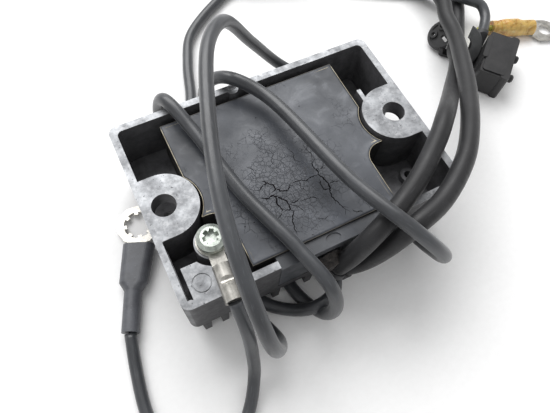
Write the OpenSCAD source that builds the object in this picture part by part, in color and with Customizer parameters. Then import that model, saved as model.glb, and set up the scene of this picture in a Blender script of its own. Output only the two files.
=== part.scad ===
// Potted ignition coil in a finned die-cast tray, with its wound control cable,
// ground lead, two spark plug leads, terminals and connector.
// Millimetres, +Z up. X runs along the tray's long side, +Y points away from the open
// front, and the origin is at the centre of the tray's footprint, at the fin tips.

/* [Tray] */
// Tray length over the two mounting ends
tray_l = 105; // [102:1:110]
// Tray depth, front to back
tray_w = 72; // [71:1:76]
// Height of the machined rim above the fin tips
rim_z = 34; // [33:1:38]
// Wall thickness at the rim
wall_t = 2.6; // [2.2:0.1:3]
// Thickness of the tray's floor
floor_t = 4.5; // [3.5:0.5:5]
// Outer corner radius
corner_r = 3; // [2:0.5:4]

/* [Cooling fins] */
// Height of the fins under the floor
fin_h = 9; // [8:0.5:10]
// Number of fin places across the tray
fin_n = 15; // [15:1:15]
// Fin thickness at the floor
fin_root = 3.3; // [2.8:0.1:3.6]
// Fin thickness at the tip
fin_tip = 2.5; // [2:0.1:2.8]

/* [Mounting] */
// Distance between the two mounting holes
hole_pitch = 90; // [88:1:92]
// Mounting hole diameter
hole_d = 8.4; // [6.4:0.1:9]
// Radius of the round end of each mounting boss
boss_r = 11.8; // [11:0.1:12]
// Thickness of the lug that the bolt clamps
lug_t = 6.6; // [5:0.2:8]

/* [Coil case] */
// Case width between its outer side faces
case_l = 70.4; // [68:0.2:72]
// Case width of the narrower front part
neck_l = 54.6; // [53:0.2:56]
// Case wall thickness
case_t = 1.3; // [1:0.1:1.6]
// Gap from the rim down to the case edge
case_drop = 2; // [1.5:0.5:3]

/* [Leads] */
// Spark plug lead diameter
ht_d = 7; // [6:0.5:7]
// Control cable diameter
control_d = 4.8; // [4:0.2:4.8]
// Ground lead diameter
ground_d = 4.4; // [4:0.2:4.6]

/* [Hidden] */
$fn = 48;
eps = 0.01;
blend_fn = 32;

// tray
floor_z = fin_h + floor_t;
inner_l = tray_l - 2 * wall_t;
inner_w = tray_w - 2 * wall_t;
open_x = [-19.8, 27.4];
fin_x0 = -tray_l / 2 + corner_r + 2.3;
fin_pitch = -2 * fin_x0 / (fin_n - 1);
fin_skip = [2, 3, 5, 13];
undercut_r = boss_r - 2.5;
end_reach = (tray_l - hole_pitch) / 2;
groove_w = 1.6;
groove_x = -48.6;
web_x = [37.2, 38.8];
web_y = [8, 14];
shelf_x = [29.5, 42];
post_pos = [43.5, -20];
post_r = 3;
pip_pos = [-5, 34];

// ground screw and its land
screw_pos = [-36, -18.5];
pillar_r = 5.8;
thread_r = 2.1;
torx_d = 5.3;
torx_w = 1.55;
torx_z = 2.7;
seal_pts = [[-3, 19], [0, 21], [2, 8.5], [4.5, 10]];
land_cut = 9;
land = [[-48.3, -tray_w / 2 + eps], [-31.4, -22.6]];
eject_pos = [-44, -29.6];
eject_r = 3.15;

// coil case
case_z = rim_z - case_drop;
case_back = 30.8;
shoulder_y = -8.4;
neck_r = 6;
boss_gap = 0.9;
block_top = case_z - 1;
block_back = -31;
front_y = -tray_w / 2;
potting_z = case_z - 0.3;
cover_t = 0.8;
bay_z = floor_z + 0.1 + case_t;

// windings
core_z = 23;
leg = 7;
coil_x = [-18.5, 2.5];
leg_y = 14;

// harness places
ring_z = rim_z;
head_z = 2;
head_r = 4.75;
plate_t = 1;
ground_turn = -4;
star_pos = [-56.4, 12.6, 0];
star_turn = 247;
plug_pos = [120.2, 17, 0];
plug_turn = -50;
earth_pos = [162.7, 26.4, 0];
earth_turn = 158;

pin_y = [6.3, -6];
pin_z = 7.2;
pin_x = [7.1, 9.4];
pin_r = 1.8;
boot_r = 9.8;
boot_hole = 4.6;
boot_t = 1.5;
boot_turn = [45, 0, 20];
boot_pos = [-16.6, 2.8, 8.2];
boot_cut = -15.5;
collar_r = 8.6;
cap_pos = [107.7, 42, 6.8];
cap_side = [109.9, 38.7, 0];
cap_side_turn = 43.5;
strap_pts = [[105.7, 37.2, 4.2], [106.4, 36.6, 1.3], [113.8, 29.3, 1.3]];
cap_lean = 45;
disc_r = 6.8;
disc_t = 1.8;
cap_holes = [[2.3, -2.8], [-2.8, -2.8]];
cap_l = 42;
cap_r = 7.6;
cap_bore = 9;
mouth_z = 28;
contact_z = 20.4;
contact_r = 3.6;
rib_z = 12;
rib_pitch = 5;
earth_d = 2.8;
earth_route = [
    [122.6, 32.8, 3.6], [125.2, 36, 3.2], [128.7, 39.3, 3], [132.5, 39.5, 3.2],
    [136.3, 37.3, 3.9], [149.5, 31.7, 3.8]
];

// Routes of the free leads, by their centre lines
control_route = [
    [2, -40.5, 8], [-1.5, -45.5, 7.6], [-10, -47.3, 7.4], [-18, -43.5, 3.2], [-26, -36, 2.5],
    [-27.5, -26, 2.5], [-27.5, 30, 2.5], [-29.5, 41, 6], [-32.2, 43.5, 20], [-30, 38, 36.5],
    [-25.5, 22, 36], [-20, -7, 34.9], [-12.5, -32, 35], [-8.5, -47.5, 33], [-7, -52.5, 20],
    [-9, -49.5, 6], [-13.5, -37, 2.5], [-13.5, 31, 2.5], [-13.5, 45, 7], [-11.5, 46, 25],
    [-6, 36.5, 38.3], [3, 24.5, 38], [12.2, -23.9, 44], [20.4, -46, 44.8], [30, -54.5, 33],
    [37.5, -49.5, 14], [39.5, -36, 3], [39.5, 32, 2.5], [36, 47, 4], [25, 55, 13],
    [12.5, 54.5, 31], [-1.5, 47.5, 53.5], [-11.5, 36, 59], [-22, 12, 60], [-31, -18, 59],
    [-34.3, -42, 54.5], [-34, -55, 43], [-31.3, -57, 27], [-27.5, -51, 8], [-31.5, -37, 2.5],
    [-34.5, -28, 2.5], [-34.5, 28, 2.5], [-27, 43, 2.5], [-16.5, 56, 2.5], [-8.4, 79, 2.5],
    [-1, 94, 2.5], [17.6, 108.5, 2.5], [31, 114.5, 2.5], [50, 109, 2.5], [98, 84, 2.5],
    [114.5, 75, 2.5], [121, 69.5, 3.6], [126, 61.5, 8.4], [130.5, 53.5, 10], [135, 48.5, 9.4],
    [134.3, 43.1, 8], [130.5, 38.3, 7.5], [123.9, 32.5, 8]
];
ht_a_route = [
    [2, -39.6, 17], [5, -40.5, 26], [10.5, -39.8, 34.5], [19, -37, 38.2], [34.5, -29.5, 38.2],
    [50, -19, 37.8], [59.7, -11, 36.3], [83.1, 6.7, 19.2], [100.8, 22.5, 11.6], [106.5, 30.4, 8.4],
    [112.5, 36, 6.5], [121, 45.5, 4], [131, 60, 3.5], [138, 78, 3.5], [135, 98, 3.5],
    [121, 112, 7.6], [106, 118.5, 7.6]
];
ht_b_route = [
    [7, -39.3, 9], [12, -41.5, 15], [17, -43.4, 28], [25, -43, 38], [38, -39.4, 38.4],
    [54.2, -29.7, 37.6], [66.1, -18.7, 34.6], [81.8, -0.6, 28], [95.5, 19.4, 21.9],
    [104.1, 33.3, 17.6], [109.1, 45.2, 15.2], [114.9, 55.7, 13.6],
    [117.3, 70, 10.5], [106, 92, 4.5], [90, 102, 7.6], [75, 107.5, 7.6]
];
ground_route = [
    [-37.5, -40, 37], [-37.4, -46.4, 31], [-38, -53, 17.5], [-39.8, -58.5, 7.5],
    [-45.5, -67, 2.3], [-55, -75.5, 2.3], [-67, -77, 2.3], [-75.5, -68, 2.3], [-77, -54, 2.3],
    [-75.3, -38, 2.3], [-72.9, -26.4, 3.3]
];

// --- shared shapes ---

function unit(v) = v / norm(v);

function heading(p, i) = unit(p[min(i + 1, len(p) - 1)] - p[max(i - 1, 0)]);

// carries a side direction along a route without twist
function carry(p, i, n) =
    i >= len(p) ? [] :
    let (t = heading(p, i), m = unit(n - (n * t) * t))
    concat([m], carry(p, i + 1, m));

// closed tube of n sides through every point of a route
module tube(p, d, n = 8) {
    side = carry(p, 0, [0, 0, 1]);
    last = len(p) - 1;
    rings = [
        for (i = [0 : last], k = [0 : n - 1])
            let (a = 360 * (k + 0.5) / n, t = heading(p, i))
            p[i] + d / 2 * (cos(a) * side[i] + sin(a) * cross(t, side[i]))
    ];
    walls = [
        for (i = [0 : last - 1], k = [0 : n - 1], h = [0, 1])
            let (a = i * n + k, b = i * n + (k + 1) % n)
            h == 0 ? [a, a + n, b] : [b, a + n, b + n]
    ];
    caps = [
        [for (k = [0 : n - 1]) k],
        [for (k = [n - 1 : -1 : 0]) last * n + k]
    ];
    polyhedron(points = rings, faces = concat(walls, caps));
}

module rounded(l, w, r) {
    translate([-l / 2 + r, -w / 2 + r]) square([l - 2 * r, w - 2 * r]);
    for (sx = [-1, 1], sy = [-1, 1])
        translate([sx * (l / 2 - r), sy * (w / 2 - r)]) circle(r = r);
    square([l - 2 * r, w], center = true);
    square([l, w - 2 * r], center = true);
}

module slab(x, y, z) {
    translate([x[0], y[0], z[0]]) cube([x[1] - x[0], y[1] - y[0], z[1] - z[0]]);
}

module rod_x(x, r, y = 0, z = 0) {
    translate([x[0], y, z]) rotate([0, 90, 0]) cylinder(h = x[1] - x[0], r = r);
}

// a cylinder from one point to another
module rod(a, b, r1, r2) {
    v = b - a;
    translate(a)
        rotate([0, acos(v.z / norm(v)), atan2(v.y, v.x)])
            cylinder(h = norm(v), r1 = r1, r2 = r2);
}

// --- tray ---

module fin(x) {
    translate([x, tray_w / 2, 0]) rotate([90, 0, 0])
        linear_extrude(height = tray_w)
            polygon([
                [-fin_tip / 2, 0], [fin_tip / 2, 0],
                [fin_root / 2, fin_h + eps], [-fin_root / 2, fin_h + eps]
            ]);
}

module boss_plan(r) {
    intersection() {
        union() {
            circle(r = r);
            translate([0, -r]) square(2 * r);
        }
        translate([-r - 1, -r - 1]) square([end_reach + r + 1, 2 * r + 2]);
    }
}

module bosses() {
    for (s = [0, 180])
        rotate([0, 0, s]) translate([hole_pitch / 2, 0, floor_z - eps])
            linear_extrude(height = rim_z - floor_z + eps) boss_plan(boss_r);
}

module lug_cuts() {
    for (s = [0, 180])
        rotate([0, 0, s]) translate([hole_pitch / 2, 0, 0]) {
            translate([0, 0, -1]) linear_extrude(height = rim_z - lug_t + 1) {
                circle(r = undercut_r);
                translate([0, -undercut_r]) square([20, 2 * undercut_r]);
            }
            cylinder(h = rim_z + 1, d = hole_d);
        }
}

module tray_frame() {
    color("#9a9c9e")
    difference() {
        union() {
            difference() {
                translate([0, 0, fin_h])
                    linear_extrude(height = rim_z - fin_h) rounded(tray_l, tray_w, corner_r);
                translate([0, 0, floor_z])
                    linear_extrude(height = rim_z) rounded(inner_l, inner_w, corner_r - 1);
                slab(open_x, [-tray_w, -tray_w / 2 + wall_t + eps], [floor_z, rim_z + 1]);
            }
            for (i = [0 : fin_n - 1])
                if (len(search(i, fin_skip)) == 0) fin(fin_x0 + i * fin_pitch);
            bosses();
            difference() {
                slab([land[0].x, land[1].x], [land[0].y, land[1].y], [floor_z - eps, rim_z]);
                translate([screw_pos.x, screw_pos.y, rim_z - land_cut])
                    cylinder(h = rim_z, r = pillar_r + 2.2);
            }
            translate([screw_pos.x, screw_pos.y, floor_z - eps])
                cylinder(h = rim_z - floor_z + eps, r = pillar_r);
            slab(web_x, web_y, [floor_z - eps, rim_z]);
            slab(shelf_x, [-inner_w / 2 - eps, -15], [floor_z - eps, floor_z + 3]);
            translate([post_pos.x, post_pos.y, floor_z - eps]) cylinder(h = 6, r = post_r);
            translate([pip_pos.x, pip_pos.y, floor_z - eps])
                cylinder(h = rim_z - floor_z + eps, r = 2.2);
        }
        lug_cuts();
        translate([screw_pos.x, screw_pos.y, floor_z + 2]) cylinder(h = rim_z, r = thread_r);
        translate([post_pos.x, post_pos.y, floor_z + 1]) cylinder(h = 9, r = post_r - 1.4);
        translate([eject_pos.x, eject_pos.y, rim_z - 0.3])
            difference() {
                cylinder(h = 1, r = eject_r);
                translate([0, 0, -1]) cylinder(h = 3, r = eject_r - 0.35);
            }
        slab([groove_x - groove_w, groove_x], [-33, -12], [rim_z - 4, rim_z + 1]);
        translate([pip_pos.x, pip_pos.y + 0.6, rim_z + 0.7]) scale([1.7, 1, 1]) sphere(r = 1.3);
    }
}

// --- coil case and its filling ---

function arc(c, r, a0, a1, n = 12) =
    [for (k = [0 : n]) let (a = a0 + (a1 - a0) * k / n) c + r * [cos(a), sin(a)]];

// right half of the case's outline, from the front to the back
function case_half(inset) =
    let (
        r = boss_r + boss_gap + inset,
        x = case_l / 2 - inset,
        y = shoulder_y + inset,
        reach = sqrt(r * r - pow(hole_pitch / 2 - x, 2)),
        low = min(reach, -y)
    )
    concat(
        [[neck_l / 2 - inset, block_back + inset]],
        arc([neck_l / 2 + neck_r, shoulder_y - neck_r], neck_r + inset, 180, 90),
        reach < -y ? [[x, y]] : [],
        arc([hole_pitch / 2, 0], r, 180 + asin(low / r), 180 - asin(reach / r)),
        [[x, case_back - inset]]
    );

module case_plan(inset) {
    half = case_half(inset);
    polygon(concat(half, [for (k = [len(half) - 1 : -1 : 0]) [-half[k].x, half[k].y]]));
}

module coil_case() {
    color("#c9bd9a")
    difference() {
        translate([0, 0, floor_z + 0.1])
            linear_extrude(height = case_z - floor_z - 0.1) case_plan(0);
        translate([0, 0, bay_z]) linear_extrude(height = case_z) case_plan(case_t);
    }
}

module potting_compound() {
    color("#4b5057")
    difference() {
        translate([0, 0, bay_z]) linear_extrude(height = potting_z - bay_z) case_plan(case_t);
        slab([-26.2, 10.2], [-13.2, 22.2], [bay_z - 1, potting_z - cover_t]);
        slab([12.8, 30.2], [-24.2, 26.2], [bay_z - 1, potting_z - cover_t]);
    }
}

module outlet_block() {
    color("#3c4046")
    difference() {
        slab([open_x[0] + 0.3, open_x[1] - 0.3], [front_y + 0.1, block_back - 0.1],
            [floor_z + 0.1, block_top]);
        translate([1, -33.4, block_top - 0.5]) scale([1.25, 0.8, 1]) cylinder(h = 2, r = 2.2);
        slab([-7.5, 3.5], [front_y - 1, front_y + 2], [20, 27]);
    }
}

// lump of sealant that the three leads come out of
module outlet_seal() {
    color("#4a4643")
    difference() {
        hull()
            for (p = seal_pts)
                translate([p.x, front_y + 0.05, p.y]) rotate([90, 0, 0])
                    cylinder(h = 4.4, r1 = 4.2, r2 = 3.2, $fn = blend_fn);
        for (route = [ht_a_route, ht_b_route]) gland(route, 0.15);
    }
}

module laminated_core() {
    color("#8d9095")
    difference() {
        slab([-26, 10], [-13, leg_y + leg / 2], [core_z - leg / 2, core_z + leg / 2]);
        slab([-19, 3], [-13 + leg, leg_y - leg / 2], [core_z - leg, core_z + leg]);
    }
}

module sleeve_x(x, r_out, r_in, flange_r = 0) {
    difference() {
        union() {
            rod_x(x, r_out, leg_y, core_z);
            if (flange_r > 0) {
                rod_x([x[0], x[0] + 1], flange_r, leg_y, core_z);
                rod_x([x[1] - 1, x[1]], flange_r, leg_y, core_z);
            }
        }
        rod_x([x[0] - 1, x[1] + 1], r_in, leg_y, core_z);
    }
}

module primary_bobbin() {
    color("#ece6d0") sleeve_x(coil_x, 5.8, 5.1, 6.5);
}

module primary_winding() {
    color("#b5651d") sleeve_x([coil_x[0] + 1.1, coil_x[1] - 1.1], 6.4, 5.9);
}

module secondary_bobbin() {
    color("#2e3b2e") sleeve_x(coil_x, 7, 6.6, 7.7);
}

module secondary_winding() {
    color("#a04a12") sleeve_x([coil_x[0] + 1.1, coil_x[1] - 1.1], 7.6, 7.1);
}

module circuit_board() {
    color("#2f6b3a")
    difference() {
        slab([13, 30], [-24, 26], [bay_z + 1, bay_z + 2.6]);
        for (y = [-20, 22]) translate([15.5, y, 0]) cylinder(h = rim_z, r = 1.1);
    }
}

module charge_capacitor() {
    color("#b3372b") slab([16, 28], [4, 22], [bay_z + 2.7, bay_z + 12]);
}

module thyristor() {
    color("#26282a") slab([16.5, 26.5], [-5, -1], [bay_z + 2.7, bay_z + 12]);
}

module rectifier_diodes() {
    color("#1f2123")
    for (y = [-10, -14, -18])
        rod_x([18, 25], 1.3, y, bay_z + 4.2);
}

// --- ground connection ---

module at_screw() {
    translate([screw_pos.x, screw_pos.y, ring_z]) rotate([0, 0, ground_turn]) children();
}

module ground_screw() {
    color("#c3c8bd")
    translate([screw_pos.x, screw_pos.y, 0])
    difference() {
        union() {
            translate([0, 0, ring_z - 10]) cylinder(h = 12, r = thread_r - 0.05);
            translate([0, 0, ring_z + head_z]) cylinder(h = 1.7, r = head_r);
            translate([0, 0, ring_z + head_z + 1.7]) cylinder(h = 1, r1 = head_r, r2 = 3.4);
        }
        for (a = [0, 60, 120])
            translate([0, 0, ring_z + torx_z + 2]) rotate([0, 0, a])
                cube([torx_d, torx_w, 4], center = true);
        translate([0, 0, ring_z + torx_z]) cylinder(h = 4, r = torx_d / 2 - 0.75);
    }
}

module spring_washer() {
    color("#b4b7ac")
    translate([screw_pos.x, screw_pos.y, ring_z + plate_t])
    difference() {
        cylinder(h = 1, r = 4.4);
        translate([0, 0, -1]) cylinder(h = 3, r = 2.6);
        translate([2, -0.4, -1]) cube([4, 0.8, 3]);
    }
}

module ground_terminal() {
    color("#d6d3c6")
    at_screw()
    difference() {
        union() {
            cylinder(h = plate_t, r = 5.2);
            slab([-2.6, 2.6], [-11, 0], [0, plate_t]);
            translate([0, -9.5, 3]) rotate([90, 0, 0]) cylinder(h = 12, r = 3);
            slab([-2.6, 2.6], [-11, -9.5], [0, 3]);
        }
        translate([0, 0, -1]) cylinder(h = 3, r = 2.65);
        translate([0, -15, 6.4]) rotate([0, 90, 0]) cylinder(h = 8, r = 1.2, center = true);
    }
}

module ground_lead() {
    color("#2b2c2e") tube(ground_route, ground_d);
}

module at_star() {
    translate(star_pos) rotate([0, 0, star_turn]) children();
}

module star_plan() {
    difference() {
        union() {
            circle(r = 8.4, $fn = 10);
            translate([6, -3.6]) square([7, 7.2]);
        }
        difference() {
            circle(r = 5.5);
            for (a = [0 : 45 : 315])
                rotate([0, 0, a + 12]) translate([4.4, -0.8]) square([2, 1.6]);
        }
    }
}

module star_terminal() {
    color("#d9d6ca")
    at_star() {
        translate([0, 0, 1.2]) linear_extrude(height = plate_t) star_plan();
        rod_x([11, 20], 2.5, 0, 3.1);
    }
}

module star_sleeve() {
    color("#34363a")
    at_star()
    difference() {
        union() {
            hull() {
                for (s = [-1, 1]) {
                    translate([9, 1.2 + s * 2.8, 3.3]) rotate([0, 90, 0])
                        cylinder(h = 1, r = 3.2, $fn = blend_fn);
                    translate([23, s * 2, 3.3]) rotate([0, 90, 0])
                        cylinder(h = 1, r = 3.2, $fn = blend_fn);
                }
                rod_x([26, 27], 3.2, 0, 3.3);
            }
            rod_x([26, 42], 3.2, 0, 3.3);
        }
        slab([7, 20.2], [-3.7, 3.7], [0.5, 5.7]);
    }
}

// --- spark plug leads ---

module gland(p, spare = 0) {
    dir = unit(p[1] - p[0]);
    rod(p[0] - (3 + spare) * dir, p[0] + spare * dir, ht_d / 2 + 0.9 + spare, ht_d / 2 + 0.5 + spare);
}

module plug_cap(p) {
    last = len(p) - 1;
    dir = p[last] - p[last - 1];
    translate(p[last]) rotate([0, 0, atan2(dir.y, dir.x)]) rotate([0, 90, 0])
    difference() {
        union() {
            translate([0, 0, -5]) cylinder(h = 13, r1 = ht_d / 2 + 1.2, r2 = 7);
            translate([0, 0, 8]) cylinder(h = 28, r = 7);
            translate([0, 0, 36]) cylinder(h = cap_l - 36, r = cap_r);
            for (i = [0 : 3]) translate([0, 0, rib_z + rib_pitch * i]) cylinder(h = 2, r = cap_r);
        }
        translate([0, 0, -6]) cylinder(h = 6, r = ht_d / 2 + 0.05);
        translate([0, 0, contact_z - 0.4]) cylinder(h = 9, r = contact_r + 0.05);
        translate([0, 0, mouth_z]) cylinder(h = cap_l, r = cap_bore / 2);
    }
}

module plug_contact(p) {
    last = len(p) - 1;
    dir = p[last] - p[last - 1];
    translate(p[last]) rotate([0, 0, atan2(dir.y, dir.x)]) rotate([0, 90, 0])
    translate([0, 0, contact_z])
    difference() {
        cylinder(h = 7, r = contact_r);
        translate([0, 0, 2]) cylinder(h = 7, r = 2.1);
        translate([0, 0, 6]) cube([10, 0.8, 5], center = true);
    }
}

module ht_gland_a() {
    color("#26272a") gland(ht_a_route);
}

module ht_gland_b() {
    color("#26272a") gland(ht_b_route);
}

module ht_lead_a() {
    color("#2a2b2d") tube(ht_a_route, ht_d, 10);
}

module ht_lead_b() {
    color("#2a2b2d") tube(ht_b_route, ht_d, 10);
}

module plug_cap_a() {
    color("#222326") plug_cap(ht_a_route);
}

module plug_cap_b() {
    color("#222326") plug_cap(ht_b_route);
}

module plug_contact_a() {
    color("#c9a24b") plug_contact(ht_a_route);
}

module plug_contact_b() {
    color("#c9a24b") plug_contact(ht_b_route);
}

// --- control harness ---

module control_cable() {
    color("#2d2e30") tube(control_route, control_d);
}

module at_plug() {
    translate(plug_pos) rotate([0, 0, plug_turn]) children();
}

// block with upright edges rounded
module soft_block(x, y, z, r) {
    translate([(x[0] + x[1]) / 2, (y[0] + y[1]) / 2, z[0]])
        linear_extrude(height = z[1] - z[0]) rounded(x[1] - x[0], y[1] - y[0], r);
}

module connector_body() {
    color("#2c2d30")
    at_plug()
    difference() {
        union() {
            soft_block([-6.3, 4.6], [-13, 12.5], [0.6, 13], 1.5);
            soft_block([-5.4, 4.6], [-12.1, 11.6], [0, 13.6], 1.2);
            soft_block([3, 7], [-13.6, 13.1], [0.2, 13.4], 1.6);
            soft_block([-7.2, -5], [-5, 9], [1, 14], 1);
        }
        for (y = pin_y) rod_x([-3, 8], pin_r - 0.25, y, pin_z);
    }
}

module connector_pins() {
    color("#8f8a7c")
    at_plug()
    for (y = pin_y) {
        rod_x([-2.5, pin_x[0]], pin_r - 0.3, y, pin_z);
        rod_x(pin_x, pin_r, y, pin_z);
        translate([pin_x[1], y, pin_z]) rotate([0, 90, 0])
            cylinder(h = 0.6, r1 = pin_r, r2 = pin_r - 0.5);
    }
}

module at_boot() {
    at_plug() translate(boot_pos) rotate(boot_turn) children();
}

// upright ring behind the connector, with the short ends of the two cables
module connector_collar() {
    color("#333438")
    difference() {
        at_plug() {
            rod_x([-10, -7.3], collar_r, 2.2, collar_r + 0.1);
            translate([-9.5, 2, 8]) rotate([-90, 0, 0]) cylinder(h = 11.8, r = 3.9);
            translate([-10.5, 2, 3.6]) rotate([-90, 0, 0]) cylinder(h = 10, r = 2.4);
        }
        at_plug() {
            slab([-7.3, 20], [-20, 20], [-10, 30]);
            translate([-9.5, 12.6, 8]) rotate([-90, 0, 0]) cylinder(h = 3, r = 2.9);
        }
        at_boot() translate([0, 0, -boot_t - 0.2]) cylinder(h = 40, r = 40);
    }
}

// flat round lip leaning between the connector and the leads, cut off beside the lead
module connector_boot() {
    color("#3a3b3e")
    difference() {
        at_boot() {
            translate([0, 0, -boot_t]) cylinder(h = boot_t - 0.5, r = boot_r);
            translate([0, 0, -0.5 - eps]) cylinder(h = 0.5, r1 = boot_r, r2 = boot_r - 0.5);
        }
        at_boot() cylinder(h = 9, r = boot_hole, center = true);
        at_plug() slab([-60, boot_cut], [-40, 40], [-20, 40]);
    }
}

// round cap beside the leads, trimmed where the lead passes, on a short flat strap
module dust_cap() {
    color("#2e2f32")
    difference() {
        union() {
            translate(cap_pos) rotate([0, cap_lean, 180]) {
                translate([0, 0, -disc_t]) cylinder(h = disc_t, r = disc_r);
                cylinder(h = 0.7, r1 = disc_r, r2 = disc_r - 0.7);
                for (h = cap_holes) translate([h.x, h.y, 0]) cylinder(h = 1.2, r = 1.9);
            }
            for (i = [0, 1])
                hull()
                    for (k = [i, i + 1])
                        translate(strap_pts[k]) rotate([0, 0, plug_turn])
                            cube([1.6, 3.6, 1.4], center = true);
        }
        translate(cap_pos) rotate([0, cap_lean, 180]) {
            difference() {
                translate([0, 0, 0.2]) cylinder(h = 3, r = disc_r - 1.5);
                for (h = cap_holes) translate([h.x, h.y, 0]) cylinder(h = 3, r = 1.9);
            }
            for (h = cap_holes) translate([h.x, h.y, -4]) cylinder(h = 8, r = 0.9);
            slab([-0.6, 0.8], [0.6, 4.4], [-4, 4]);
        }
        translate(cap_side) rotate([0, 0, cap_side_turn]) slab([-40, 40], [-30, 0], [2.2, 40]);
    }
}

module earth_wire() {
    color("#a9a638") tube(earth_route, earth_d);
}

module at_earth() {
    translate(earth_pos) rotate([0, 0, earth_turn]) children();
}

module earth_sleeve() {
    color("#d9a441")
    at_earth()
    difference() {
        union() {
            rod_x([7.6, 29], 3.7, 0, 3.9);
            translate([13, 0, 3.9]) rotate([0, 90, 0]) cylinder(h = 3, r1 = 3.7, r2 = 4.2);
            rod_x([16, 22], 4.2, 0, 4.2);
            translate([22, 0, 4.2]) rotate([0, 90, 0]) cylinder(h = 3, r1 = 4.2, r2 = 3.7);
        }
        rod_x([6, 18.2], 2.8, 0, 3.9);
        rod_x([17, 31], earth_d / 2 + 0.2, 0, 3.9);
    }
}

module earth_terminal() {
    color("#d2d0c6")
    at_earth()
    difference() {
        union() {
            translate([0, 0, 1.2]) cylinder(h = plate_t, r = 6.4);
            translate([0, 0, 1.2]) linear_extrude(height = plate_t)
                polygon([[0, -6.4], [4.4, -6.4], [7.4, -3.4], [7.4, 3.4], [4.4, 6.4], [0, 6.4]]);
            slab([7, 9], [-2.4, 2.4], [1.2, 1.2 + plate_t]);
            rod_x([8, 18], 2.5, 0, 3.7);
        }
        translate([0, 0, 0]) cylinder(h = 4, r = 3.3);
        rod_x([9, 19], 1.6, 0, 3.7);
    }
}

// --- output, one node at a time or all of them ---

tray_frame();
coil_case();
potting_compound();
outlet_block();
outlet_seal();
laminated_core();
primary_bobbin();
primary_winding();
secondary_bobbin();
secondary_winding();
circuit_board();
charge_capacitor();
thyristor();
rectifier_diodes();
ground_screw();
spring_washer();
ground_terminal();
ground_lead();
star_sleeve();
star_terminal();
ht_gland_a();
ht_gland_b();
ht_lead_a();
ht_lead_b();
plug_cap_a();
plug_cap_b();
plug_contact_a();
plug_contact_b();
control_cable();
connector_body();
connector_pins();
connector_collar();
connector_boot();
earth_wire();
earth_sleeve();
earth_terminal();
dust_cap();
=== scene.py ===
import math
import random

import bmesh
import bpy
from mathutils import Matrix, Vector, noise
from mathutils.bvhtree import BVHTree


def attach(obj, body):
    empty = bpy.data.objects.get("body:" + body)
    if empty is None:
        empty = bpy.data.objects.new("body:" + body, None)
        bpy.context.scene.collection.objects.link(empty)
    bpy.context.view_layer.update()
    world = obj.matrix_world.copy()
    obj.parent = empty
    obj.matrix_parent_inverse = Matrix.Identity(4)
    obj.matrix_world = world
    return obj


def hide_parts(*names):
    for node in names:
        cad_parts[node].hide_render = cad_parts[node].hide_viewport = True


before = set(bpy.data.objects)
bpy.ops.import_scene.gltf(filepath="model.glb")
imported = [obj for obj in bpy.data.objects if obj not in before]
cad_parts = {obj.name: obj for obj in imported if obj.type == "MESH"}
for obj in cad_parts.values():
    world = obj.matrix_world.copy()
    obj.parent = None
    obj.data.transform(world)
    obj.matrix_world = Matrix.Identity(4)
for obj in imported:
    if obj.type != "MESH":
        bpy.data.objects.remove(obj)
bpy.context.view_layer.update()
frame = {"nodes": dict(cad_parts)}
random.seed(7)
MM = 0.001

# the tray's half length, half width and rim, and the levels of the case and its filling, mm
TRAY_X, TRAY_Y, RIM_Z = 52.5, 36.0, 34.0
CASE_Z, POTTING_Z = 32.0, 31.9

# ---------------------------------------------------------------- camera
LENS = 31.69
CAMERA_PLACE = Vector((-48.16, -74.04, 179.47)) * MM
CAMERA_RIGHT = Vector((0.8940, -0.4459, 0.0435))
CAMERA_FORWARD = Vector((0.2241, 0.3608, -0.9053))
cam_data = bpy.data.cameras.new("camera")
cam_data.sensor_fit = "HORIZONTAL"
cam_data.sensor_width = 36.0
cam_data.lens = LENS
cam_data.clip_start = 0.01
camera = bpy.data.objects.new("camera", cam_data)
bpy.context.collection.objects.link(camera)
right = CAMERA_RIGHT.normalized()
back = -CAMERA_FORWARD.normalized()
up = back.cross(right).normalized()
right = up.cross(back).normalized()
turn = Matrix((right, up, back)).transposed().to_4x4()
camera.matrix_world = Matrix.Translation(CAMERA_PLACE) @ turn
bpy.context.scene.camera = camera

# ---------------------------------------------------------------- routes of the free leads, mm
CONTROL = [
    (2, -40.5, 8), (-1.5, -45.5, 7.6), (-10, -47.3, 7.4), (-18, -43.5, 3.2), (-26, -36, 2.5),
    (-27.5, -26, 2.5), (-27.5, 30, 2.5), (-29.5, 41, 6), (-32.2, 43.5, 20), (-30, 38, 36.5),
    (-25.5, 22, 36), (-20, -7, 34.9), (-12.5, -32, 35), (-8.5, -47.5, 33), (-7, -52.5, 20),
    (-9, -49.5, 6), (-13.5, -37, 2.5), (-13.5, 31, 2.5), (-13.5, 45, 7), (-11.5, 46, 25),
    (-6, 36.5, 38.3), (3, 24.5, 38), (12.2, -23.9, 44), (20.4, -46, 44.8), (30, -54.5, 33),
    (37.5, -49.5, 14), (39.5, -36, 3), (39.5, 32, 2.5), (36, 47, 4), (25, 55, 13),
    (12.5, 54.5, 31), (-1.5, 47.5, 53.5), (-11.5, 36, 59), (-22, 12, 60), (-31, -18, 59),
    (-34.3, -42, 54.5), (-34, -55, 43), (-31.3, -57, 27), (-27.5, -51, 8), (-31.5, -37, 2.5),
    (-34.5, -28, 2.5), (-34.5, 28, 2.5), (-27, 43, 2.5), (-16.5, 56, 2.5), (-8.4, 79, 2.5),
    (-1, 94, 2.5), (17.6, 108.5, 2.5), (31, 114.5, 2.5), (50, 109, 2.5), (98, 84, 2.5),
    (114.5, 75, 2.5), (121, 69.5, 3.6), (126, 61.5, 8.4), (130.5, 53.5, 10), (135, 48.5, 9.4),
    (134.3, 43.1, 8), (130.5, 38.3, 7.5), (123.9, 32.5, 8),
]
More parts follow.
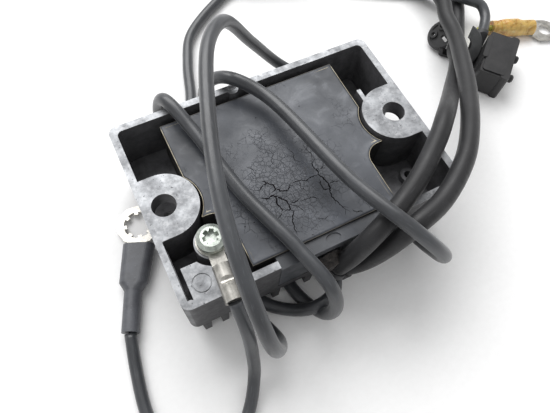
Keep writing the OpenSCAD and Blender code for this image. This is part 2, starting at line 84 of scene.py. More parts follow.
HT_A = [
    (2, -39.6, 17), (5, -40.5, 26), (10.5, -39.8, 34.5), (19, -37, 38.2), (34.5, -29.5, 38.2),
    (50, -19, 37.8), (59.7, -11, 36.3), (83.1, 6.7, 19.2), (100.8, 22.5, 11.6),
    (106.5, 30.4, 8.4), (112.5, 36, 6.5), (121, 45.5, 4), (131, 60, 3.5), (138, 78, 3.5),
    (135, 98, 3.5), (121, 112, 7.6), (106, 118.5, 7.6),
]
HT_B = [
    (7, -39.3, 9), (12, -41.5, 15), (17, -43.4, 28), (25, -43, 38), (38, -39.4, 38.4),
    (54.2, -29.7, 37.6), (66.1, -18.7, 34.6), (81.8, -0.6, 28), (95.5, 19.4, 21.9),
    (104.1, 33.3, 17.6), (109.1, 45.2, 15.2), (114.9, 55.7, 13.6), (117.3, 70, 10.5),
    (106, 92, 4.5), (90, 102, 7.6), (75, 107.5, 7.6),
]
GROUND = [
    (-37.5, -40, 37), (-37.4, -46.4, 31), (-38, -53, 17.5), (-39.8, -58.5, 7.5),
    (-45.5, -67, 2.3), (-55, -75.5, 2.3), (-67, -77, 2.3), (-75.5, -68, 2.3), (-77, -54, 2.3),
    (-75.3, -38, 2.3), (-72.9, -26.4, 3.3),
]
EARTH = [
    (122.6, 32.8, 3.6), (125.2, 36, 3.2), (128.7, 39.3, 3), (132.5, 39.5, 3.2),
    (136.3, 37.3, 3.9), (149.5, 31.7, 3.8),
]
CONTROL_D, HT_D, GROUND_D, EARTH_D = 4.8, 7.0, 4.4, 2.8


def smooth(points, step):
    """Centripetal Catmull-Rom curve through the points, sampled about every step, in mm."""
    pts = [Vector(p) for p in points]
    pts = [2 * pts[0] - pts[1]] + pts + [2 * pts[-1] - pts[-2]]
    out = []
    for i in range(1, len(pts) - 2):
        a, b, c, d = pts[i - 1:i + 3]
        t0 = 0.0
        t1 = math.sqrt((b - a).length)
        t2 = t1 + math.sqrt((c - b).length)
        t3 = t2 + math.sqrt((d - c).length)
        n = max(2, round((c - b).length / step))
        for k in range(n):
            t = t1 + (t2 - t1) * k / n
            p = (a * (t1 - t) + b * (t - t0)) / (t1 - t0)
            q = (b * (t2 - t) + c * (t - t1)) / (t2 - t1)
            r = (c * (t3 - t) + d * (t - t2)) / (t3 - t2)
            p = (p * (t2 - t) + q * (t - t0)) / (t2 - t0)
            q = (q * (t3 - t) + r * (t - t1)) / (t3 - t1)
            out.append((p * (t2 - t) + q * (t - t1)) / (t2 - t1))
    out.append(pts[-2])
    return out


def link(name, data):
    ob = bpy.data.objects.new(name, data)
    bpy.context.collection.objects.link(ob)
    return ob


def tube(name, route, diameter, sides=20, step=1.6, low=0.05):
    """Round tube along a smooth route, kept low above the floor at least.

    Its UV map has u along the tube, in metres, and v round it, from 0 to 1.
    """
    path = smooth(route, step)
    radius = diameter / 2
    for p in path:
        p.z = max(p.z, radius + low)
    bm = bmesh.new()
    uv = bm.loops.layers.uv.new("along")
    side = Vector((0, 0, 1))
    rings, dist = [], [0.0]
    for i, p in enumerate(path):
        ahead = path[min(i + 1, len(path) - 1)] - path[max(i - 1, 0)]
        ahead.normalize()
        side = (side - side.dot(ahead) * ahead).normalized()
        other = ahead.cross(side)
        if i:
            dist.append(dist[-1] + (p - path[i - 1]).length)
        ring = []
        for k in range(sides):
            a = 2 * math.pi * k / sides
            q = p + radius * (math.cos(a) * side + math.sin(a) * other)
            ring.append(bm.verts.new(q * MM))
        rings.append(ring)
    for i in range(len(rings) - 1):
        for k in range(sides):
            j = (k + 1) % sides
            face = bm.faces.new((rings[i][k], rings[i + 1][k], rings[i + 1][j], rings[i][j]))
            face.smooth = True
            us = (dist[i], dist[i + 1], dist[i + 1], dist[i])
            vs = (k / sides, k / sides, (k + 1) / sides, (k + 1) / sides)
            for loop, u, v in zip(face.loops, us, vs):
                loop[uv].uv = (u * MM, v)
    bm.faces.new(rings[0])
    bm.faces.new(rings[-1][::-1])
    bmesh.ops.recalc_face_normals(bm, faces=bm.faces)
    mesh = bpy.data.meshes.new(name)
    bm.to_mesh(mesh)
    bm.free()
    ob = link(name, mesh)
    return ob, [p * MM for p in path], dist[-1] * MM


def free_lead(name, node, route, diameter):
    """A lead's tube, which replaces its node."""
    ob, path, length = tube(name, route, diameter)
    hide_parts(node)
    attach(ob, "root")
    return ob


node = frame["nodes"]
control = free_lead(
    "control_cable_skin", "control_cable", CONTROL, CONTROL_D)
lead_a = free_lead(
    "plug_lead_a_skin", "ht_lead_a", HT_A, HT_D)
lead_b = free_lead(
    "plug_lead_b_skin", "ht_lead_b", HT_B, HT_D)
ground = free_lead(
    "ground_lead_skin", "ground_lead", GROUND, GROUND_D)
earth = free_lead(
    "earth_wire_skin", "earth_wire", EARTH, EARTH_D)


# ---------------------------------------------------------------- materials
class Shader:
    """A node material on one Principled shader, with short helpers for its textures."""

    def __init__(self, name):
        self.mat = bpy.data.materials.new(name)
        self.mat.use_nodes = True
        self.tree = self.mat.node_tree
        self.shader = self.tree.nodes["Principled BSDF"]
        place = self.tree.nodes.new("ShaderNodeTexCoord")
        self.obj, self.uv = place.outputs["Object"], place.outputs["UV"]

    def put(self, socket, value):
        if isinstance(value, bpy.types.NodeSocket):
            self.tree.links.new(value, socket)
        elif isinstance(value, tuple) and len(value) == 3 and socket.type == "RGBA":
            socket.default_value = (*value, 1)
        else:
            socket.default_value = value

    def node(self, kind, inputs, out=0, **props):
        """A new node with its inputs set or linked. Gives back one of its outputs."""
        new = self.tree.nodes.new(kind)
        for key, value in props.items():
            setattr(new, key, value)
        for key, value in inputs.items():
            self.put(new.inputs[key], value)
        return new.outputs[out]

    def noise(self, scale, detail=4.0, rough=0.55, vec=None, distort=0.0):
        return self.node("ShaderNodeTexNoise", {
            "Vector": vec or self.obj, "Scale": scale, "Detail": detail, "Roughness": rough,
            "Distortion": distort})

    def cell_edges(self, scale, vec=None, rand=1.0):
        """Distance to the nearest border of a cell pattern."""
        return self.node("ShaderNodeTexVoronoi", {
            "Vector": vec or self.obj, "Scale": scale, "Randomness": rand},
            feature="DISTANCE_TO_EDGE")

    def span(self, value, lo, hi, a=0.0, b=1.0):
        """value carried from lo..hi over to a..b, and held at their ends."""
        return self.node("ShaderNodeMapRange", {0: value, 1: lo, 2: hi, 3: a, 4: b})

    def calc(self, how, a, b=0.0):
        return self.node("ShaderNodeMath", {0: a, 1: b}, operation=how)

    def blend(self, fac, a, b):
        return self.node("ShaderNodeMix", {0: fac, 6: a, 7: b}, out=2, data_type="RGBA")

    def stretch(self, vec, scale):
        return self.node("ShaderNodeMapping", {"Vector": vec, "Scale": scale})

    def shift(self, vec, texture, amount):
        """vec moved about by a noise, for edges that wander."""
        push = self.node("ShaderNodeVectorMath", {0: texture, 1: (0.5, 0.5, 0.5)},
                         operation="SUBTRACT")
        push = self.node("ShaderNodeVectorMath", {0: push, 3: amount}, operation="SCALE")
        return self.node("ShaderNodeVectorMath", {0: vec, 1: push}, operation="ADD")

    def part(self, vec, axis):
        return self.node("ShaderNodeSeparateXYZ", {0: vec}, out="XYZ".index(axis))

    def facing_up(self):
        """1 where the surface faces nearly straight up, 0 elsewhere."""
        geo = self.tree.nodes.new("ShaderNodeNewGeometry")
        return self.calc("GREATER_THAN", self.part(geo.outputs["Normal"], "Z"), 0.9)

    def bump(self, height, strength, depth):
        return self.node("ShaderNodeBump", {
            "Height": height, "Strength": strength, "Distance": depth * MM})

    def done(self, **inputs):
        """Sets the shader's own inputs by short names, and gives back the material."""
        names = {"color": "Base Color", "rough": "Roughness", "metal": "Metallic",
                 "normal": "Normal", "coat": "Coat Weight", "coat_rough": "Coat Roughness",
                 "specular": "Specular IOR Level", "under": "Subsurface Weight",
                 "sheen": "Sheen Weight", "sheen_rough": "Sheen Roughness"}
        for key, value in inputs.items():
            self.put(self.shader.inputs[names[key]], value)
        return self.mat


def tray_metal():
    """Dark painted tray, ground bright on its rim and lugs and rubbed bare at the edges."""
    s = Shader("tray_metal")
    z = s.part(s.obj, "Z")
    top = s.calc("MULTIPLY", s.calc("GREATER_THAN", z, (RIM_Z - 0.4) * MM), s.facing_up())
    blotch = s.noise(170, 6, 0.68)
    grain = s.noise(1500, 3, 0.6)
    pits = s.span(s.noise(900, 3, 0.7), 0.3, 0.36)
    bright = s.blend(s.span(blotch, 0.36, 0.64), (0.22, 0.225, 0.235), (0.40, 0.41, 0.425))
    bright = s.blend(s.span(s.noise(520, 4, 0.7), 0.52, 0.72, 0, 0.55), bright, (0.52, 0.52, 0.53))
    bright = s.blend(pits, (0.10, 0.10, 0.105), bright)
    face = 0.3    # what lies this near the outline, or past it, is the outside
    x = s.calc("SUBTRACT", s.calc("ABSOLUTE", s.part(s.obj, "X")), (TRAY_X - face) * MM)
    y = s.calc("SUBTRACT", s.calc("ABSOLUTE", s.part(s.obj, "Y")), (TRAY_Y - face) * MM)
    outer = s.calc("GREATER_THAN", s.calc("MAXIMUM", x, y), 0.0)
    inside = s.blend(s.span(blotch, 0.35, 0.7), (0.09, 0.09, 0.095), (0.19, 0.19, 0.20))
    mottle = s.span(s.noise(420, 4, 0.6), 0.35, 0.7)
    skin = s.blend(mottle, (0.045, 0.045, 0.048), (0.088, 0.088, 0.093))
    side = s.blend(outer, inside, skin)
    dust = s.calc("MULTIPLY", s.span(s.noise(650, 4, 0.75), 0.60, 0.72), 0.55)
    side = s.blend(dust, side, (0.20, 0.20, 0.20))
    worn = s.calc("MULTIPLY", s.span(blotch, 0.4, 0.6), 0.4)
    worn = s.calc("ADD", s.span(z, (RIM_Z - 0.7) * MM, RIM_Z * MM), worn)
    side = s.blend(s.span(worn, 0.8, 1.3, 0, 0.7), side, (0.30, 0.30, 0.31))
    height = s.calc("ADD", s.calc("MULTIPLY", grain, 0.4), blotch)
    return s.done(
        color=s.blend(top, side, bright),
        metal=s.span(top, 0, 1, 0.35, 1.0),
        rough=s.calc("ADD", s.span(blotch, 0.3, 0.7, 0.12, -0.04), s.span(top, 0, 1, 0.46, 0.52)),
        normal=s.bump(height, 0.35, 0.12), specular=0.45)


def case_plastic():
    """Black case whose cut edge is tan, brightest along its two sides and dimmed at its back and
    front; at the back the dimming is painted shade.
    """
    s = Shader("case_plastic")
    edge_z = (CASE_Z - 0.1) * MM
    top = s.calc("MULTIPLY", s.calc("GREATER_THAN", s.part(s.obj, "Z"), edge_z), s.facing_up())
    stain = s.noise(260, 5, 0.65)
    edge = s.blend(s.span(stain, 0.35, 0.65), (0.30, 0.24, 0.14), (0.72, 0.66, 0.50))
    wall = s.blend(s.span(stain, 0.3, 0.7), (0.018, 0.018, 0.019), (0.045, 0.043, 0.040))
    x = s.calc("ABSOLUTE", s.part(s.obj, "X"))
    y = s.part(s.obj, "Y")
    # the tan edge is kept full only along the two sides; its dimming at the back is painted shade
    sides = s.calc("MULTIPLY", s.span(x, 25 * MM, 27 * MM), s.span(y, -28 * MM, -26 * MM))
    sides = s.calc("MULTIPLY", sides, s.span(y, 30 * MM, 29.2 * MM))
    top = s.calc("MULTIPLY", top, s.span(sides, 0, 1, 0.12, 1.0))
    return s.done(color=s.blend(top, wall, edge), rough=s.span(stain, 0.3, 0.7, 0.42, 0.62),
                  normal=s.bump(s.noise(1400, 3), 0.3, 0.05))


def potting(name, cracked, tint=(1.0, 1.0, 1.0)):
    """Cloudy blue-black resin, with a net of fine cracks round crack_x, crack_y on its top,
    darkened with painted shade.
    """
    s = Shader(name)
    cloud = s.noise(28, 5, 0.6)
    smear = s.noise(110, 5, 0.62, distort=0.8)
    low = tuple(c * t for c, t in zip((0.034, 0.038, 0.047), tint))
    high = tuple(c * t for c, t in zip((0.094, 0.102, 0.120), tint))
    color = s.blend(s.span(cloud, 0.34, 0.66), low, high)
    color = s.blend(s.span(smear, 0.55, 0.75, 0, 0.5), color, tuple(c * 1.5 for c in high))
    height = s.calc("ADD", s.calc("MULTIPLY", smear, 0.6),
                    s.calc("MULTIPLY", s.noise(900, 4, 0.7), 0.25))
    rough = s.calc("ADD", s.span(smear, 0.3, 0.7, 0.14, -0.06),
                   s.span(cloud, 0.35, 0.65, 0.42, 0.34))
    if cracked:
        crack_x, crack_y = -3 * MM, -12 * MM
        warp = s.node("ShaderNodeTexNoise", {"Vector": s.obj, "Scale": 420.0, "Detail": 4.0}, out=1)
        veins = s.shift(s.obj, warp, 1.8 * MM)
        line = s.span(s.cell_edges(300, veins), 0.0, 0.030, 1.0, 0.0)
        fine = s.span(s.cell_edges(620, veins), 0.0, 0.045, 1.0, 0.0)
        x = s.calc("SUBTRACT", s.part(s.obj, "X"), crack_x)
        y = s.calc("SUBTRACT", s.part(s.obj, "Y"), crack_y)
        reach = s.calc("SQRT", s.calc("ADD", s.calc("MULTIPLY", x, x), s.calc("MULTIPLY", y, y)))
        near = s.span(reach, 8 * MM, 30 * MM, 1.0, 0.0)
        wide = s.calc("ADD", s.noise(75, 3, 0.6), s.calc("MULTIPLY", near, 0.28))
        small = s.calc("ADD", s.noise(130, 3, 0.6), s.calc("MULTIPLY", near, 0.35))
        mark = s.calc("MAXIMUM", s.calc("MULTIPLY", line, s.span(wide, 0.56, 0.68)),
                      s.calc("MULTIPLY", fine, s.span(small, 0.62, 0.74)))
        # the cracks' dark colour is painted shade in them; the drop in height below is their bump
        color = s.blend(s.calc("MULTIPLY", mark, 0.55), color, (0.008, 0.008, 0.009))
        height = s.calc("SUBTRACT", height, mark)
    return s.done(color=color, rough=rough, normal=s.bump(height, 0.5, 0.16), specular=0.5)


def seal_lump():
    s = Shader("seal_lump")
    blotch = s.noise(420, 6, 0.7, distort=1.0)
    color = s.blend(s.span(blotch, 0.35, 0.62), (0.012, 0.011, 0.011), (0.060, 0.050, 0.045))
    color = s.blend(s.span(s.noise(900, 5, 0.7), 0.60, 0.72), color, (0.17, 0.15, 0.135))
    return s.done(color=color, rough=s.span(blotch, 0.3, 0.7, 0.65, 0.35),
                  normal=s.bump(blotch, 0.9, 0.8))


def rubber(name, low, high, rough=0.5, gloss=0.5, bumps=0.25):
    s = Shader(name)
    cloud = s.noise(160, 5, 0.62)
    dust = s.span(s.noise(1300, 3, 0.7), 0.62, 0.74, 0, 0.35)
    color = s.blend(s.span(cloud, 0.32, 0.68), low, high)
    color = s.blend(dust, color, tuple(min(1, 3 * c) for c in high))
    height = s.calc("ADD", cloud, s.calc("MULTIPLY", s.noise(2200, 3), 0.4))
    return s.done(color=color, rough=s.span(cloud, 0.3, 0.7, rough - 0.07, rough + 0.08),
                  normal=s.bump(height, bumps, 0.12), specular=gloss)


def sheath(name, low, high, rough, ticks=False, gloss=0.65):
    """Lead's covering: scuffs along it, dust, and a row of pressed marks on a plug lead."""
    s = Shader(name)
    along = s.stretch(s.uv, (70.0, 9.0, 1.0))
    scuff = s.noise(3.0, 5, 0.62, vec=along)
    cloud = s.noise(45, 4, 0.6)
    color = s.blend(s.span(cloud, 0.32, 0.68), low, high)
    color = s.blend(s.span(scuff, 0.56, 0.74, 0, 0.5), color, tuple(2.2 * c for c in high))
    color = s.blend(s.span(s.noise(1600, 3, 0.7), 0.64, 0.76, 0, 0.4), color, (0.16, 0.16, 0.165))
    height = s.calc("ADD", s.calc("MULTIPLY", scuff, 0.6), s.calc("MULTIPLY", s.noise(700, 4), 0.5))
    if ticks:
        steps, row_at, row_half = 480.0, 0.22, 0.07    # steps per metre, two to a mark
        u = s.calc("PINGPONG", s.calc("MULTIPLY", s.part(s.uv, "X"), steps), 1.0)
        v = s.calc("ABSOLUTE", s.calc("SUBTRACT", s.part(s.uv, "Y"), row_at))
        row = s.calc("LESS_THAN", v, row_half)
        words = s.stretch(s.uv, (4.0, 0.0, 0.0))
        gate = s.calc("GREATER_THAN", s.noise(60, 2, 0.5, vec=words), 0.44)
        mark = s.calc("MULTIPLY", s.calc("MULTIPLY", s.span(u, 0.55, 0.8), row), gate)
        height = s.calc("SUBTRACT", height, s.calc("MULTIPLY", mark, 0.9))
        color = s.blend(s.calc("MULTIPLY", mark, 0.5), color, (0.012, 0.012, 0.013))
    return s.done(color=color, rough=s.span(scuff, 0.3, 0.7, rough - 0.06, rough + 0.1),
                  normal=s.bump(height, 0.3, 0.12), specular=gloss, sheen=0.25 * gloss,
                  sheen_rough=0.4)


def bare_metal(name, low, high, rough, scratch=0.3, spot=(0.2, 0.19, 0.17)):
    s = Shader(name)
    cloud = s.noise(330, 6, 0.68)
    fine = s.noise(3.0, 4, 0.6, vec=s.stretch(s.obj, (300.0, 1500.0, 900.0)))
    color = s.blend(s.span(cloud, 0.34, 0.66), low, high)
    color = s.blend(s.span(s.noise(1200, 3, 0.7), 0.62, 0.74, 0, 0.7), color, spot)
    height = s.calc("ADD", cloud, s.calc("MULTIPLY", fine, scratch))
    streaks = s.span(fine, 0.3, 0.7, -0.05, 0.08)
    return s.done(color=color, metal=1.0, normal=s.bump(height, 0.3, 0.10),
                  rough=s.calc("ADD", streaks, s.span(cloud, 0.3, 0.7, rough, rough + 0.14)))


def amber():
    s = Shader("amber_sleeve")
    cloud = s.noise(230, 5, 0.65, distort=0.6)
    folds = s.noise(2.0, 4, 0.6, vec=s.stretch(s.obj, (130.0, 380.0, 300.0)))
    color = s.blend(s.span(cloud, 0.32, 0.66), (0.36, 0.17, 0.025), (0.72, 0.44, 0.12))
    color = s.blend(s.span(folds, 0.55, 0.72, 0, 0.55), color, (0.86, 0.68, 0.34))
    return s.done(color=color, rough=s.span(cloud, 0.3, 0.7, 0.22, 0.38), under=0.15,
                  normal=s.bump(s.calc("ADD", cloud, folds), 0.8, 0.35), coat=0.3, coat_rough=0.2)


def winding():
    s = Shader("enamelled_wire")
    turns = s.node("ShaderNodeTexWave", {"Vector": s.obj, "Scale": 1600.0}, out=1,
                   bands_direction="X")
    cloud = s.noise(300, 4)
    color = s.blend(s.span(cloud, 0.3, 0.7), (0.42, 0.13, 0.04), (0.66, 0.26, 0.09))
    return s.done(color=color, metal=0.8, rough=s.span(cloud, 0.3, 0.7, 0.25, 0.4),
                  normal=s.bump(turns, 0.8, 0.1))


def laminations():
    s = Shader("laminations")
    layers = s.node("ShaderNodeTexWave", {"Vector": s.obj, "Scale": 900.0}, out=1,
                    bands_direction="Z")
    rust = s.noise(240, 5, 0.7)
    color = s.blend(s.span(rust, 0.5, 0.7), (0.33, 0.34, 0.36), (0.20, 0.11, 0.06))
    return s.done(color=color, metal=0.9, rough=s.span(rust, 0.3, 0.7, 0.35, 0.6),
                  normal=s.bump(layers, 0.7, 0.12))


def board_mask():
    s = Shader("board_mask")
    tracks = s.span(s.cell_edges(220, rand=0.5), 0.05, 0.09)
    weave = s.noise(1500, 3)
    color = s.blend(tracks, (0.10, 0.30, 0.10), (0.020, 0.12, 0.040))
    return s.done(color=color, rough=s.span(weave, 0.3, 0.7, 0.28, 0.42),
                  normal=s.bump(tracks, 0.4, 0.05))


# ---------------------------------------------------------------- potting skin and its cracks
# the skin's rise towards its edge, how far in that reaches, and the drop of the edge, mm
EDGE_RISE, EDGE_WIDTH, EDGE_LIP = 0.16, 2.4, 0.12
# the skin's distance inside the case's outline and its mesh's step there, mm, and its rings
SKIN_INSET, SKIN_STEP, SKIN_RINGS = 0.2, 0.9, 44


def arc(cx, cy, r, a0, a1, n=12):
    angles = [math.radians(a0 + (a1 - a0) * k / n) for k in range(n + 1)]
    return [Vector((cx + r * math.cos(a), cy + r * math.sin(a), 0)) for a in angles]


def case_outline(inset):
    """The coil case's outline, set in by inset, from front right round to front left, in mm."""
    shoulder, neck, half, boss, lug = -8.4, 27.3, 35.2, 12.7, 45.0
    front, rear, fillet = -31, 30.8, 6
    r = boss + inset
    x = half - inset
    y = shoulder + inset
    reach = math.sqrt(r * r - (lug - x) ** 2)
    low = min(reach, -y)
    side = [Vector((neck - inset, front + inset, 0))]
    side += arc(neck + fillet, shoulder - fillet, fillet + inset, 180, 90)
    if reach < -y:
        side.append(Vector((x, y, 0)))
    side += arc(lug, 0, r, 180 + math.degrees(math.asin(low / r)),
                180 - math.degrees(math.asin(reach / r)))
    side.append(Vector((x, rear - inset, 0)))
    return side + [Vector((-p.x, p.y, 0)) for p in reversed(side)]


def resample(loop, step):
    """The closed loop's points, with more between them about every step."""
    out = []
    for a, b in zip(loop, loop[1:] + loop[:1]):
        n = max(1, round((b - a).length / step))
        out += [a.lerp(b, k / n) for k in range(n)]
    return out


def ripple(x, y):
    """Low swells left in the potting as it set, in mm."""
    return (0.05 * math.sin(x / 7 + 1.3 * math.sin(y / 9)) + 0.04 * math.sin(y / 5 + x / 13)
            + 0.05 * noise.noise(Vector((x, y, 3.0)) / 6))


def potting_skin():
    """Cast top of the potting: it rises over the case's rim and stops just inside its outline."""
    edge = resample(case_outline(SKIN_INSET), SKIN_STEP)
    centre = Vector((0, 8, 0))
    bm = bmesh.new()
    grid = []
    for r in range(SKIN_RINGS + 1):
        t = (r / SKIN_RINGS) ** 0.8
        row = []
        for p in edge:
            q = centre.lerp(p, t)
            gap = (1 - t) * (p - centre).length
            rise = EDGE_RISE * math.exp(-(gap / EDGE_WIDTH) ** 2)
            z = POTTING_Z + rise + 0.6 * ripple(q.x, q.y) * min(1, gap / 5)
            row.append(bm.verts.new(Vector((q.x, q.y, z)) * MM))
            if r == 0:
                break
        grid.append(row)
    n = len(edge)
    for k in range(n):
        bm.faces.new((grid[0][0], grid[1][k], grid[1][(k + 1) % n]))
    for r in range(1, SKIN_RINGS):
        for k in range(n):
            j = (k + 1) % n
            bm.faces.new((grid[r][k], grid[r + 1][k], grid[r + 1][j], grid[r][j]))
    lip = [bm.verts.new(v.co - Vector((0, 0, EDGE_LIP * MM))) for v in grid[-1]]
    for k in range(n):
        j = (k + 1) % n
        bm.faces.new((grid[-1][k], lip[k], lip[j], grid[-1][j]))
    for face in bm.faces:
        face.smooth = True
    bmesh.ops.recalc_face_normals(bm, faces=bm.faces)
    tree = BVHTree.FromBMesh(bm)
    mesh = bpy.data.meshes.new("potting_skin")
    bm.to_mesh(mesh)
    bm.free()
    return link("potting_skin", mesh), tree


# shrinkage cracks, drawn as ribbons of painted shade: width, to be multiplied by CRACK_WIDTH, then
# the points on the way, mm
CRACK_WIDTH, CRACK_LIFT = 1.4, 0.012
BRANCH_WIDTH, BRANCH_CHANCE = 0.45, 0.6
CRACKS = [
    (0.42, (8, -4.5), (7.5, -7.5), (8, -9.5), (7.5, -10.5), (8.5, -12.5), (9, -15.5), (8.2, -18),
     (7.5, -20), (8, -22), (9, -24.5), (9.5, -26.5), (10.5, -28)),
    (0.34, (7, -12.5), (6.5, -15), (6.5, -16.5), (8.5, -17.5)),
    (0.24, (9.5, -15.5), (11, -15.4), (13, -16)),
    (0.30, (7.5, -10.5), (4.5, -10.5), (2.5, -11), (0.5, -10), (-3, -9.5)),
    (0.40, (-11.5, -4.5), (-10, -6), (-8.5, -8), (-8.5, -9.5), (-10.5, -10)),
    (0.40, (-8.5, -9.5), (-7, -11), (-5.5, -11.5), (-4, -11), (-3, -9.5)),
    (0.50, (-14.5, -10.5), (-12.5, -11.5), (-10.5, -11.3), (-9.5, -12), (-10.5, -14.5),
     (-10, -17), (-10.5, -18.5)),
    (0.46, (-9.5, -12), (-7.5, -14.5), (-7, -16.5), (-7.5, -18.5), (-10, -17.5)),
    (0.28, (-3, -16), (-4, -16.5), (-6.5, -16.5)),
    (0.34, (-7.5, -18.5), (-6.5, -19.5), (-8.5, -22), (-9.5, -25.5), (-9.5, -27.5)),
    (0.28, (11.5, -27.5), (12.5, -29), (14.5, -29.6)),
    (0.30, (-10, -6), (-12.5, -6.5), (-14, -8)),
    (0.20, (-3, -17), (1.5, -17.5), (3.5, -19)),
    (0.22, (8.5, -9), (10, -9), (11.5, -7)),
    (0.24, (-10.5, -18.5), (-13, -20), (-13.5, -22.5)),
    (0.20, (-7, -16.5), (-4.5, -18.5), (-3.5, -21)),
    (0.20, (0.5, -10), (-0.5, -12.5), (0.8, -14.5)),
    (0.16, (2.5, 4), (3.5, 0.5), (2.8, -2), (4.5, -4)),
    (0.16, (-4, 6), (-3, 3.5), (-5, 1), (-4.4, -1.5)),
    (0.16, (-14, 3), (-12, 0.5), (-12.6, -2)),
    (0.14, (-20, 6), (-18.5, 3.5), (-19, 1.5)),
    (0.14, (10, 2), (8.5, 0), (9.4, -2.5), (8, -4.5)),
    (0.14, (-1, -25), (1.5, -26.5), (3.5, -26)),
]
# centres of small pits in the surface, drawn as patches of painted shade, mm
PIT_CORNERS = 9
PITS = [(-20.5, -17.5), (-24, -17.6), (-5, -29.8), (18, -12), (-2, 20), (15, 18), (-16, -24)]


def cracks(surface):
    """Thin ribbons of painted shade that wander along each crack, with short side branches, and
    patches of it at the pits.
    """
    bm = bmesh.new()

    def ground(x, y):
        hit = surface.ray_cast(Vector((x, y, 40)) * MM, Vector((0, 0, -1)))[0]
        return (hit.z / MM if hit else POTTING_Z) + CRACK_LIFT

    def ribbon(points, width, taper_in, taper_out):
        last, rows = len(points) - 1, []
        for i, p in enumerate(points):
            way = points[min(i + 1, last)] - points[max(i - 1, 0)]
            side = Vector((-way.y, way.x)).normalized()
            t = i / last
            w = width * (0.55 + 0.45 * random.random())
            w *= min(1, 0.12 + t * taper_in) * min(1, 0.12 + (1 - t) * taper_out)
            rows.append([bm.verts.new(Vector((q.x, q.y, ground(q.x, q.y))) * MM)
                         for q in (p + side * w / 2, p - side * w / 2)])
        for a, b in zip(rows, rows[1:]):
            bm.faces.new((a[0], b[0], b[1], a[1]))

    def wander(points, step, size):
        out = []
        for a, b in zip(points, points[1:]):
            n = max(1, round((b - a).length / step))
            for k in range(n):
                p = a.lerp(b, k / n)
                spread = size if k else size * 0.4
                off = Vector((random.uniform(-spread, spread), random.uniform(-spread, spread)))
                out.append(p + off)
        return out + [points[-1]]

    for width, *points in CRACKS:
        line = wander([Vector(p) for p in points], step=0.55, size=0.22)
        ribbon(line, width * CRACK_WIDTH, taper_in=7, taper_out=4)
        for i in range(2, len(line) - 1, 3):
            if random.random() < BRANCH_CHANCE:
                way = (line[i + 1] - line[i - 1]).normalized()
                turn = random.choice((-1, 1)) * random.uniform(0.7, 1.4)
                way = Vector((way.x * math.cos(turn) - way.y * math.sin(turn),
                              way.x * math.sin(turn) + way.y * math.cos(turn)))
                far = line[i] + way * random.uniform(0.8, 2.4)
                branch = wander([line[i], far], step=0.4, size=0.12)
                ribbon(branch, width * BRANCH_WIDTH, taper_in=30, taper_out=1.6)
    for x, y in PITS:
        rim = []
        for k in range(PIT_CORNERS):
            a = 2 * math.pi * k / PIT_CORNERS
            r = random.uniform(0.16, 0.34)
            px, py = x + r * math.cos(a), y + 0.7 * r * math.sin(a)
            rim.append(bm.verts.new(Vector((px, py, ground(px, py))) * MM))
        bm.faces.new(rim)
    mesh = bpy.data.meshes.new("potting_crack_shade")
    bm.to_mesh(mesh)
    bm.free()
    return link("potting_crack_shade", mesh)


def painted_crack_shade():
    s = Shader("painted_crack_shade")
    # painted shade for the cracks and pits: near black, a little uneven
    depth = s.noise(900, 4, 0.7)
    color = s.blend(s.span(depth, 0.35, 0.7), (0.003, 0.003, 0.0035), (0.012, 0.012, 0.013))
    return s.done(color=color, rough=s.span(depth, 0.3, 0.7, 0.95, 0.75), specular=0.1,
                  normal=s.bump(depth, 0.6, 0.1))


skin, surface = potting_skin()
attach(skin, "root")
skin.data.materials.append(potting("potting_top", cracked=True))
crack_shade_ribbons = cracks(surface)
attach(crack_shade_ribbons, "root")
crack_shade_ribbons.data.materials.append(painted_crack_shade())

# ---------------------------------------------------------------- finishes
potted = potting("potting_side", cracked=False)
tinned = bare_metal("tin_plate", (0.36, 0.35, 0.32), (0.66, 0.64, 0.60), rough=0.30)
zinc = bare_metal("zinc_plate", (0.36, 0.40, 0.36), (0.72, 0.77, 0.71), rough=0.30,
                  scratch=0.5, spot=(0.16, 0.17, 0.15))
brass = bare_metal("bright_brass", (0.50, 0.36, 0.14), (0.74, 0.57, 0.27), rough=0.22)
soft_black = rubber("soft_black", (0.018, 0.018, 0.020), (0.034, 0.034, 0.037), rough=0.48)
cap_black = rubber("cap_black", (0.014, 0.014, 0.015), (0.030, 0.030, 0.032), rough=0.50)
boot_grey = rubber("boot_grey", (0.055, 0.057, 0.058), (0.095, 0.098, 0.10), rough=0.52)
nylon = rubber("nylon_black", (0.014, 0.014, 0.015), (0.028, 0.027, 0.028), rough=0.46,
               gloss=0.45, bumps=0.5)
shrink = rubber("shrink_black", (0.065, 0.068, 0.076), (0.12, 0.125, 0.14), rough=0.44,
                gloss=0.6, bumps=0.8)
cable = sheath("cable_skin", (0.026, 0.028, 0.032), (0.056, 0.060, 0.067), rough=0.36)
plug_lead = sheath("plug_lead_skin", (0.010, 0.010, 0.011), (0.022, 0.022, 0.024), rough=0.46,
                   ticks=True, gloss=0.4)
yellow_green = sheath("earth_wire_skin", (0.28, 0.27, 0.03), (0.50, 0.48, 0.06), rough=0.40)
enamel = winding()

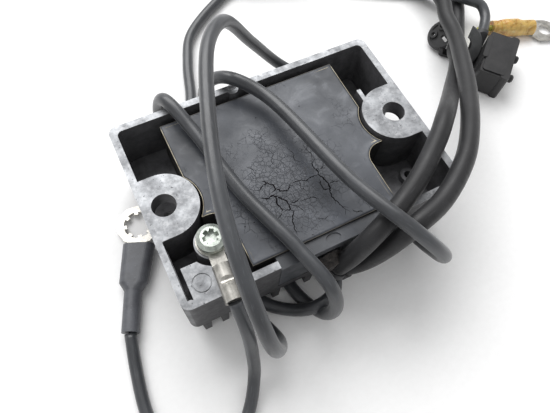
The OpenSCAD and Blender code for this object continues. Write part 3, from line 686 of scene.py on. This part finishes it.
FINISH = {
    "tray_frame": tray_metal(), "coil_case": case_plastic(), "potting_compound": potted,
    "outlet_block": potting("block_potting", cracked=False, tint=(1.05, 1.02, 0.96)),
    "outlet_seal": seal_lump(), "laminated_core": laminations(),
    "primary_bobbin": rubber("bobbin_cream", (0.55, 0.50, 0.38), (0.72, 0.68, 0.54), 0.35),
    "primary_winding": enamel, "secondary_winding": enamel,
    "secondary_bobbin": rubber("bobbin_green", (0.03, 0.05, 0.03), (0.06, 0.09, 0.06), 0.35),
    "circuit_board": board_mask(),
    "charge_capacitor": rubber("capacitor_red", (0.30, 0.04, 0.03), (0.45, 0.08, 0.05), 0.3),
    "thyristor": nylon, "rectifier_diodes": soft_black,
    "ground_screw": zinc, "spring_washer": zinc, "ground_terminal": tinned,
    "star_terminal": tinned, "star_sleeve": shrink, "ht_gland_a": soft_black,
    "ht_gland_b": soft_black, "plug_cap_a": cap_black, "plug_cap_b": cap_black,
    "plug_contact_a": brass, "plug_contact_b": brass, "connector_body": nylon,
    "connector_pins": nylon, "connector_collar": cap_black, "connector_boot": boot_grey,
    "earth_sleeve": amber(), "earth_terminal": tinned, "dust_cap": cap_black,
}
for name, finish in FINISH.items():
    for holder in node[name].material_slots:
        holder.material = finish
for lead, finish in ((control, cable), (lead_a, plug_lead), (lead_b, plug_lead),
                     (ground, cable), (earth, yellow_green)):
    lead.data.materials.append(finish)

# ---------------------------------------------------------------- floor and light
FLOOR_HALF = 3.0
WORLD_LIGHT = 0.62
mesh = bpy.data.meshes.new("floor")
corners = [(x * FLOOR_HALF, y * FLOOR_HALF, 0) for x, y in ((-1, -1), (1, -1), (1, 1), (-1, 1))]
mesh.from_pydata(corners, [], [(0, 1, 2, 3)])
floor = link("floor", mesh)
paper = Shader("paper")
fibre = paper.noise(400, 4)
floor.data.materials.append(paper.done(
    color=paper.blend(paper.span(fibre, 0.3, 0.7), (0.95, 0.95, 0.95), (0.98, 0.98, 0.98)),
    rough=0.9, specular=0.1, normal=paper.bump(fibre, 0.05, 0.05)))
world = bpy.data.worlds.new("world")
bpy.context.scene.world = world
world.use_nodes = True
backdrop = world.node_tree.nodes["Background"]
backdrop.inputs["Color"].default_value = (1, 1, 1, 1)
backdrop.inputs["Strength"].default_value = WORLD_LIGHT


def softbox(name, place, aim, size, power):
    data = bpy.data.lights.new(name, "AREA")
    data.shape = "RECTANGLE"
    data.size, data.size_y = size
    data.energy = power
    ob = link(name, data)
    ob.location = place
    ob.rotation_euler = (Vector(aim) - Vector(place)).to_track_quat("-Z", "Y").to_euler()


softbox("key_back", place=(0.08, 0.88, 1.0), aim=(0, 0, 0.02), size=(1.4, 0.9), power=19.0)

bpy.context.scene.view_settings.view_transform = "Standard"
